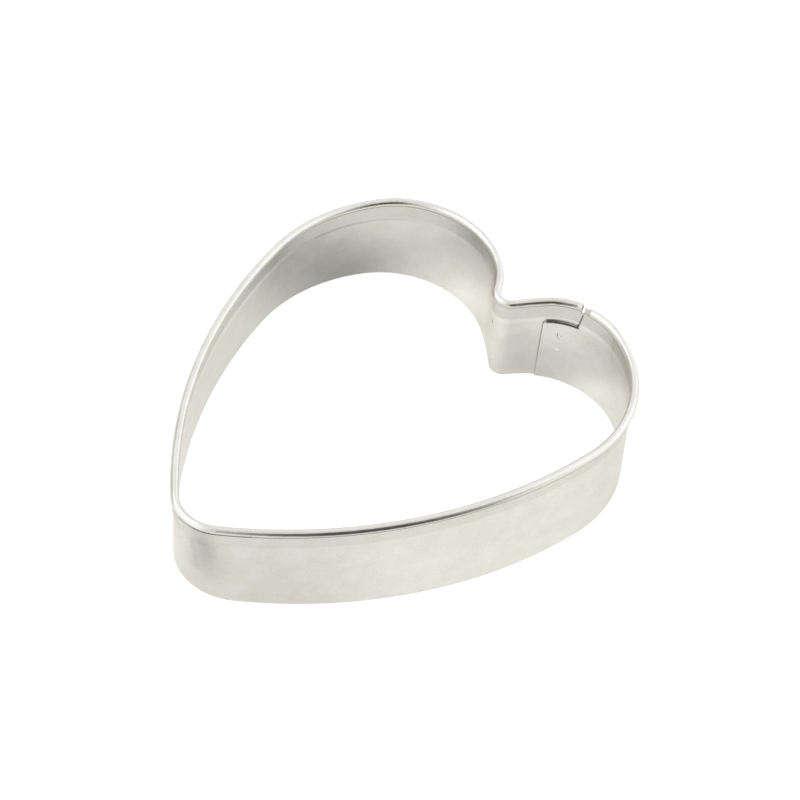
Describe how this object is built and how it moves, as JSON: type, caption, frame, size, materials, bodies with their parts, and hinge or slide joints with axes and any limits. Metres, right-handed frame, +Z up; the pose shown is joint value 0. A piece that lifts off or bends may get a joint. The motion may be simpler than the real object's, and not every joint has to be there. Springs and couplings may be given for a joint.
{
  "type": "heart cookie cutter",
  "caption": "Heart-shaped pastry cutter bent from a tinplate strip, with a rolled safety bead on top, a notched lap seam and a thin cutting edge below.",
  "frame": {"origin": "on the surface that the cutting edge stands on, under the middle of the cutter's bounding box", "axes": "+Z up from the cutting edge to the bead, +Y from the heart's tip towards its two lobes, +X towards the lobe that carries the seam"},
  "size_m": [0.0714, 0.0878, 0.019],
  "materials": {
    "tinplate": "satin tin plate, faintly mottled",
    "weld_marks": "dull, slightly heat-darkened"
  },
  "bodies": {
    "root": {"cutter_strip": "tinplate", "spot_welds": "weld_marks"}
  },
  "joints": []
}
